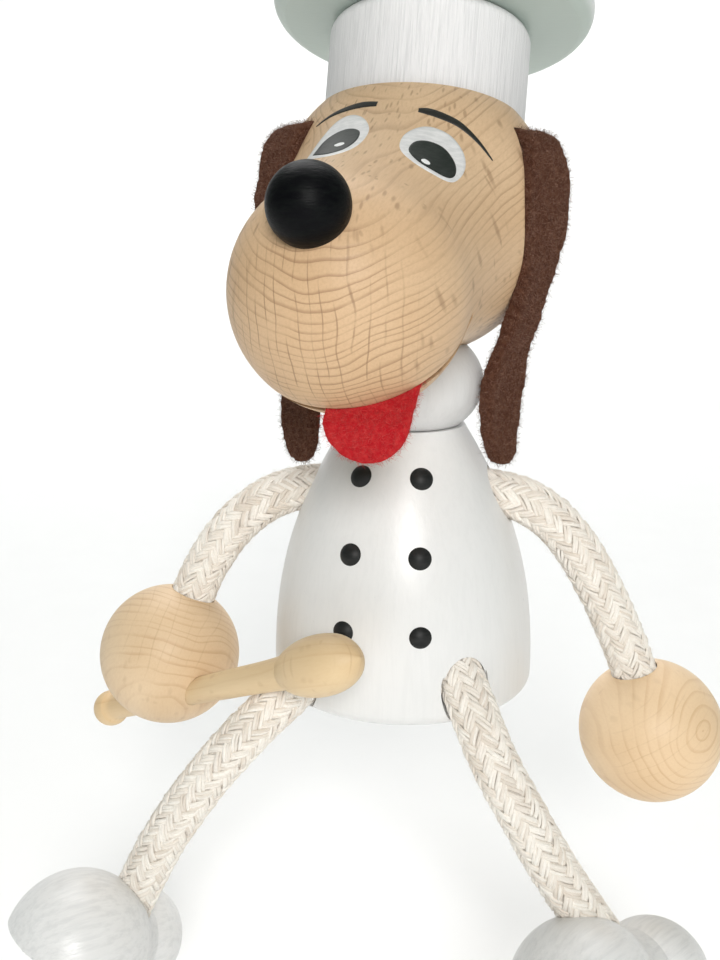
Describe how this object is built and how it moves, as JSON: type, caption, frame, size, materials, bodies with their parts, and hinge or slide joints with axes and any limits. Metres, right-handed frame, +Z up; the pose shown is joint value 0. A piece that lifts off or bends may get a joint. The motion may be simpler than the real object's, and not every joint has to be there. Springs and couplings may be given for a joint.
{
  "type": "marionette puppet",
  "caption": "Small hanging wooden puppet of a dog dressed as a cook, with felt ears and tongue, rope arms and legs, ball hands and a wooden spoon.",
  "frame": {"origin": "centre of the hanging eye on top of the hat, from which the puppet is held", "axes": "+Z up, -Y to the torso's front, +X to the puppet's left"},
  "size_m": [0.1188, 0.0879, 0.1885],
  "materials": {
    "bare_wood": "waxed bare wood",
    "white_paint": "white satin paint over grain",
    "black_gloss": "black gloss paint",
    "dark_paint": "black paint",
    "brown_felt": "brown felt",
    "red_felt": "red felt",
    "cotton_cord": "braided cotton",
    "steel_wire": "plated wire"
  },
  "bodies": {
    "head": {"head": "bare_wood", "hat_band": "white_paint", "hat_top": "white_paint", "hat_dowel": "bare_wood", "hanging_eye": "steel_wire", "nose": "black_gloss", "nose_peg": "bare_wood", "neck_collar": "white_paint", "neck_dowel": "bare_wood"},
    "left_ear": {"left_ear": "brown_felt"},
    "right_ear": {"right_ear": "brown_felt"},
    "tongue": {"tongue": "red_felt"},
    "torso": {"torso": "white_paint", "coat_buttons": "dark_paint"},
    "left_arm": {"left_arm_cord_root": "cotton_cord"},
    "right_arm": {"right_arm_cord_root": "cotton_cord"},
    "left_leg": {"left_leg_cord_root": "cotton_cord"},
    "right_leg": {"right_leg_cord_root": "cotton_cord"},
    "left_hand": {"left_arm_cord": "cotton_cord", "left_hand": "bare_wood"},
    "right_hand": {"right_arm_cord": "cotton_cord", "right_hand": "bare_wood", "spoon": "bare_wood"},
    "left_foot": {"left_leg_cord": "cotton_cord", "left_shoe": "white_paint"},
    "right_foot": {"right_leg_cord": "cotton_cord", "right_shoe": "white_paint"}
  },
  "joints": [
    {"name": "neck_swivel", "type": "hinge", "parent": "head", "child": "torso", "pos_m": [-0.00297, -0.01722, -0.08382], "axis": [0, 0, 1], "range_deg": [-60, 60]},
    {"name": "left_ear_flop", "type": "hinge", "parent": "head", "child": "left_ear", "pos_m": [0.01803, -0.02132, -0.03922], "axis": [-0.5446, -0.8387, 0], "range_deg": [0, 45], "stiffness_Nm_per_rad": 0.004, "deforming": ["left_ear"]},
    {"name": "right_ear_flop", "type": "hinge", "parent": "head", "child": "right_ear", "pos_m": [-0.02107, -0.02442, -0.03782], "axis": [-0.7193, 0.6947, 0], "range_deg": [0, 45], "stiffness_Nm_per_rad": 0.004, "deforming": ["right_ear"]},
    {"name": "tongue_flap", "type": "hinge", "parent": "head", "child": "tongue", "pos_m": [-0.00343, -0.05276, -0.07588], "axis": [-0.9854, 0.1702, 0], "range_deg": [0, 30], "stiffness_Nm_per_rad": 0.002, "deforming": ["tongue"]},
    {"name": "left_shoulder_swing", "type": "hinge", "parent": "torso", "child": "left_arm", "pos_m": [0.00623, -0.01722, -0.09522], "axis": [-1, 0, 0], "range_deg": [-35, 60], "stiffness_Nm_per_rad": 0.05, "deforming": ["left_arm_cord"]},
    {"name": "left_arm_bend", "type": "hinge", "parent": "left_arm", "child": "left_hand", "pos_m": [0.03033, -0.01697, -0.10992], "axis": [0, -1, 0], "range_deg": [-10, 25], "stiffness_Nm_per_rad": 0.05, "deforming": ["left_arm_cord"]},
    {"name": "right_shoulder_swing", "type": "hinge", "parent": "torso", "child": "right_arm", "pos_m": [-0.01097, -0.01722, -0.09522], "axis": [-1, 0, 0], "range_deg": [0, 18], "stiffness_Nm_per_rad": 0.05, "deforming": ["right_arm_cord"]},
    {"name": "right_arm_bend", "type": "hinge", "parent": "right_arm", "child": "right_hand", "pos_m": [-0.03717, -0.02032, -0.10762], "axis": [-1, 0, 0], "range_deg": [0, 12], "stiffness_Nm_per_rad": 0.05, "deforming": ["right_arm_cord"]},
    {"name": "left_leg_swing", "type": "hinge", "parent": "torso", "child": "left_leg", "pos_m": [0.00683, -0.03172, -0.11952], "axis": [0.4176, -0.6317, -0.6531], "range_deg": [-12, 25], "stiffness_Nm_per_rad": 0.05, "deforming": ["left_leg_cord"]},
    {"name": "left_leg_bend", "type": "hinge", "parent": "left_leg", "child": "left_foot", "pos_m": [0.02203, -0.04162, -0.14662], "axis": [0, -1, 0], "range_deg": [-12, 20], "stiffness_Nm_per_rad": 0.05, "deforming": ["left_leg_cord"]},
    {"name": "right_leg_swing", "type": "hinge", "parent": "torso", "child": "right_leg", "pos_m": [-0.01287, -0.02942, -0.12102], "axis": [0.5978, 0.6087, 0.5217], "range_deg": [-12, 18], "stiffness_Nm_per_rad": 0.05, "deforming": ["right_leg_cord"]},
    {"name": "right_leg_bend", "type": "hinge", "parent": "right_leg", "child": "right_foot", "pos_m": [-0.03617, -0.04132, -0.14562], "axis": [0, 1, 0], "range_deg": [-12, 15], "stiffness_Nm_per_rad": 0.05, "deforming": ["right_leg_cord"]}
  ]
}
